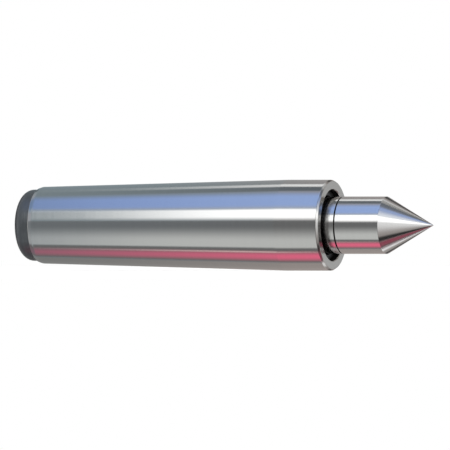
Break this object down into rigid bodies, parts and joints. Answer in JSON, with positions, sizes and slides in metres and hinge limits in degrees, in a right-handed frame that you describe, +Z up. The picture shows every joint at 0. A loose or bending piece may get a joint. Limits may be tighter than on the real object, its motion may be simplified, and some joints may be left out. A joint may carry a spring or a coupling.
{
  "type": "live center",
  "caption": "Tailstock live center: hollow Morse taper shank with bearings inside, a freely turning spindle with a sixty degree point, and a rounded black end plug.",
  "frame": {"origin": "on the axis of rotation, in the gauge plane of the Morse taper", "axes": "+X along the axis of rotation, towards the point; +Z up"},
  "size_m": [0.2155, 0.0448, 0.0448],
  "materials": {
    "ground_steel": "fine ground round the axis",
    "hardened_steel": "fine ground, bright",
    "bearing_steel": "ground",
    "roller_steel": "lapped",
    "cage_steel": "pressed sheet",
    "spring_steel": "phosphated",
    "black_oxide_steel": "black oxide, satin",
    "nitrile_rubber": "matt moulded"
  },
  "bodies": {
    "shank": {"shank_body": "ground_steel", "rear_plug": "black_oxide_steel", "plug_sealing_ring": "nitrile_rubber", "retaining_ring": "black_oxide_steel", "seal_case": "cage_steel", "seal_lip": "nitrile_rubber", "front_needle_cup": "bearing_steel", "thrust_housing_washer": "bearing_steel", "rear_needle_cup": "bearing_steel", "rear_thrust_fixed_washer": "bearing_steel"},
    "spindle": {"spindle": "hardened_steel", "thrust_shaft_washer": "bearing_steel", "rear_thrust_turning_washer": "bearing_steel", "disc_spring_front": "spring_steel", "disc_spring_rear": "spring_steel", "tab_washer": "bearing_steel", "lock_nut": "bearing_steel"},
    "front_needle_set": {"front_needle_cage": "cage_steel", "front_needle_01": "roller_steel", "front_needle_02": "roller_steel", "front_needle_03": "roller_steel", "front_needle_04": "roller_steel", "front_needle_05": "roller_steel", "front_needle_06": "roller_steel", "front_needle_07": "roller_steel", "front_needle_08": "roller_steel", "front_needle_09": "roller_steel", "front_needle_10": "roller_steel", "front_needle_11": "roller_steel", "front_needle_12": "roller_steel", "front_needle_13": "roller_steel", "front_needle_14": "roller_steel", "front_needle_15": "roller_steel", "front_needle_16": "roller_steel", "front_needle_17": "roller_steel", "front_needle_18": "roller_steel", "front_needle_19": "roller_steel", "front_needle_20": "roller_steel", "front_needle_21": "roller_steel", "front_needle_22": "roller_steel", "front_needle_23": "roller_steel", "front_needle_24": "roller_steel"},
    "thrust_ball_set": {"thrust_ball_cage": "cage_steel", "thrust_ball_01": "roller_steel", "thrust_ball_02": "roller_steel", "thrust_ball_03": "roller_steel", "thrust_ball_04": "roller_steel", "thrust_ball_05": "roller_steel", "thrust_ball_06": "roller_steel", "thrust_ball_07": "roller_steel", "thrust_ball_08": "roller_steel", "thrust_ball_09": "roller_steel", "thrust_ball_10": "roller_steel", "thrust_ball_11": "roller_steel", "thrust_ball_12": "roller_steel"},
    "rear_needle_set": {"rear_needle_cage": "roller_steel"},
    "rear_thrust_set": {"rear_thrust_cage": "roller_steel"}
  },
  "joints": [
    {"name": "spindle_spin", "type": "hinge", "parent": "shank", "child": "spindle", "pos_m": [0, 0, 0], "axis": [1, 0, 0], "continuous": true},
    {"name": "front_needle_orbit", "type": "hinge", "parent": "shank", "child": "front_needle_set", "pos_m": [0, 0, 0], "axis": [1, 0, 0], "continuous": true},
    {"name": "thrust_ball_orbit", "type": "hinge", "parent": "shank", "child": "thrust_ball_set", "pos_m": [0, 0, 0], "axis": [1, 0, 0], "continuous": true},
    {"name": "rear_needle_orbit", "type": "hinge", "parent": "shank", "child": "rear_needle_set", "pos_m": [0, 0, 0], "axis": [1, 0, 0], "continuous": true},
    {"name": "rear_thrust_orbit", "type": "hinge", "parent": "shank", "child": "rear_thrust_set", "pos_m": [0, 0, 0], "axis": [1, 0, 0], "continuous": true}
  ],
  "couplings": [
    {"joint": "front_needle_orbit", "follows": "spindle_spin", "ratio": 0.459},
    {"joint": "thrust_ball_orbit", "follows": "spindle_spin", "ratio": 0.5},
    {"joint": "rear_needle_orbit", "follows": "spindle_spin", "ratio": 0.442},
    {"joint": "rear_thrust_orbit", "follows": "spindle_spin", "ratio": 0.5}
  ]
}
